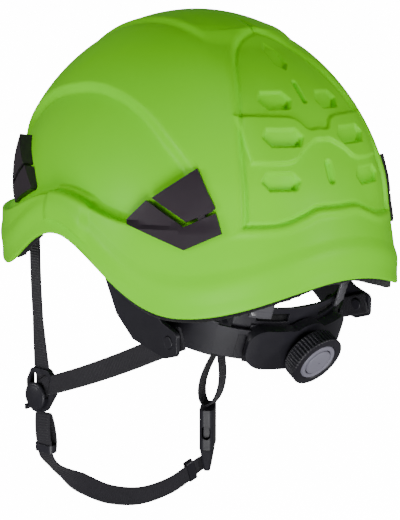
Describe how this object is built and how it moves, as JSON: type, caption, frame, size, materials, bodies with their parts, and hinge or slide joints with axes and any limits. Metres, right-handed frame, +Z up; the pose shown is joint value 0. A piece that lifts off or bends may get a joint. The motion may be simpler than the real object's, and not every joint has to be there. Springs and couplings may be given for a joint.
{
  "type": "climbing helmet",
  "caption": "Work-at-height helmet: moulded shell with lamp clips, textile cradle, ratchet nape adjuster and a chin strap with side adjusters and a side-release buckle.",
  "frame": {"origin": "middle of the head opening, at the height of the headband", "axes": "+Z up to the crown, -Y to the brow, +X to the wearer's left"},
  "size_m": [0.2392, 0.3029, 0.3806],
  "materials": {
    "shell_green": "satin moulded ABS",
    "foam_black": "closed-cell foam with a knitted face",
    "webbing_black": "ribbed polyester webbing",
    "clip_black": "satin nylon",
    "plastic_black": "fine-grained nylon",
    "steel": "machined",
    "hanger_grey": "glossy flexible polymer",
    "knob_grey": "satin nylon"
  },
  "bodies": {
    "helmet": {"shell": "shell_green", "rim_liner": "foam_black", "lamp_clip_front_left": "clip_black", "lamp_clip_front_right": "clip_black", "lamp_clip_rear_left": "clip_black", "lamp_clip_rear_right": "clip_black", "accessory_socket_left": "plastic_black", "accessory_socket_right": "plastic_black", "cradle_anchor_front_left": "plastic_black", "cradle_anchor_front_right": "plastic_black", "cradle_anchor_side_left": "plastic_black", "cradle_anchor_side_right": "plastic_black", "cradle_anchor_rear_left": "plastic_black", "cradle_anchor_rear_right": "plastic_black", "cradle_strap_lateral": "webbing_black", "cradle_strap_diagonal_left": "webbing_black", "cradle_strap_diagonal_right": "webbing_black", "crown_pad": "foam_black", "headband": "plastic_black", "brow_pad": "foam_black", "side_hub_left": "plastic_black", "side_hub_right": "plastic_black", "hub_rivet_left": "plastic_black", "hub_rivet_right": "plastic_black", "hanger_bracket_left": "plastic_black", "hanger_bracket_right": "plastic_black", "strap_anchor_front_left": "plastic_black", "strap_anchor_front_right": "plastic_black", "front_strap_left": "webbing_black", "front_strap_right": "webbing_black", "rear_strap_left": "webbing_black", "rear_strap_right": "webbing_black", "adjuster_left": "plastic_black", "adjuster_right": "plastic_black", "chin_loop_left": "webbing_black", "chin_loop_right": "webbing_black", "strap_keeper_left": "plastic_black", "chin_tail": "webbing_black", "buckle_socket": "plastic_black"},
    "nape_unit": {"ratchet_housing": "plastic_black", "ratchet_cover": "plastic_black", "cover_screws": "steel", "nape_band": "plastic_black", "nape_pad": "foam_black"},
    "knob": {"knob": "plastic_black", "knob_cap": "knob_grey", "knob_screw": "steel", "pinion": "plastic_black", "ratchet_pawl": "plastic_black"},
    "arm_left": {"nape_arm_left": "plastic_black"},
    "arm_right": {"nape_arm_right": "plastic_black"},
    "hanger_left": {"nape_hanger_left": "hanger_grey"},
    "hanger_right": {"nape_hanger_right": "hanger_grey"},
    "lever_left": {"adjuster_lever_left": "knob_grey"},
    "lever_right": {"adjuster_lever_right": "knob_grey"},
    "chin_band": {"chin_strap": "webbing_black", "strap_keeper_right": "plastic_black", "buckle_plug": "plastic_black"},
    "prong_front": {"buckle_prong_front": "plastic_black"},
    "prong_rear": {"buckle_prong_rear": "plastic_black"}
  },
  "joints": [
    {"name": "nape_fit", "type": "slide", "parent": "helmet", "child": "nape_unit", "axis": [0, -0.9397, 0.342], "range_m": [-0.008, 0.012]},
    {"name": "knob_turn", "type": "hinge", "parent": "nape_unit", "child": "knob", "pos_m": [0, 0.10842, -0.06549], "axis": [0, 0.866, -0.5], "range_deg": [-116, 78]},
    {"name": "arm_left_feed", "type": "hinge", "parent": "nape_unit", "child": "arm_left", "pos_m": [0, 0.037, -0.0395], "axis": [0, 0.342, 0.9397], "range_deg": [-6.2, 9.2]},
    {"name": "arm_right_feed", "type": "hinge", "parent": "nape_unit", "child": "arm_right", "pos_m": [0, 0.037, -0.0395], "axis": [0, 0.342, 0.9397], "range_deg": [-9.2, 6.2]},
    {"name": "hanger_left_swing", "type": "hinge", "parent": "helmet", "child": "hanger_left", "pos_m": [0.033, 0.1184, -0.0095], "axis": [-1, 0, 0], "range_deg": [-13, 19.5]},
    {"name": "hanger_right_swing", "type": "hinge", "parent": "helmet", "child": "hanger_right", "pos_m": [-0.033, 0.1184, -0.0095], "axis": [-1, 0, 0], "range_deg": [-13, 19.5]},
    {"name": "lever_left_open", "type": "hinge", "parent": "helmet", "child": "lever_left", "pos_m": [0.08054, -0.09324, -0.145], "axis": [-0.309, 0.9511, 0], "range_deg": [0, 60]},
    {"name": "lever_right_open", "type": "hinge", "parent": "helmet", "child": "lever_right", "pos_m": [-0.08954, -0.08024, -0.121], "axis": [-0.309, -0.9511, 0], "range_deg": [0, 60]},
    {"name": "chin_strap_open", "type": "hinge", "parent": "helmet", "child": "chin_band", "pos_m": [0.062, -0.08, -0.197], "axis": [0, -1, 0], "range_deg": [0, 75]},
    {"name": "prong_rear_press", "type": "hinge", "parent": "chin_band", "child": "prong_rear", "pos_m": [-0.06934, -0.07434, -0.207], "axis": [0.7071, -0.7071, 0], "range_deg": [0, 6], "stiffness_Nm_per_rad": 0.02},
    {"name": "prong_front_press", "type": "hinge", "parent": "chin_band", "child": "prong_front", "pos_m": [-0.08066, -0.08566, -0.207], "axis": [-0.7071, 0.7071, 0], "range_deg": [0, 6], "stiffness_Nm_per_rad": 0.02}
  ],
  "couplings": [
    {"joint": "knob_turn", "follows": "nape_fit", "rad_per_m": -166.67},
    {"joint": "arm_left_feed", "follows": "nape_fit", "rad_per_m": 13.158},
    {"joint": "arm_right_feed", "follows": "nape_fit", "rad_per_m": -13.158},
    {"joint": "hanger_left_swing", "follows": "nape_fit", "rad_per_m": 27.397},
    {"joint": "hanger_right_swing", "follows": "nape_fit", "rad_per_m": 27.397}
  ]
}
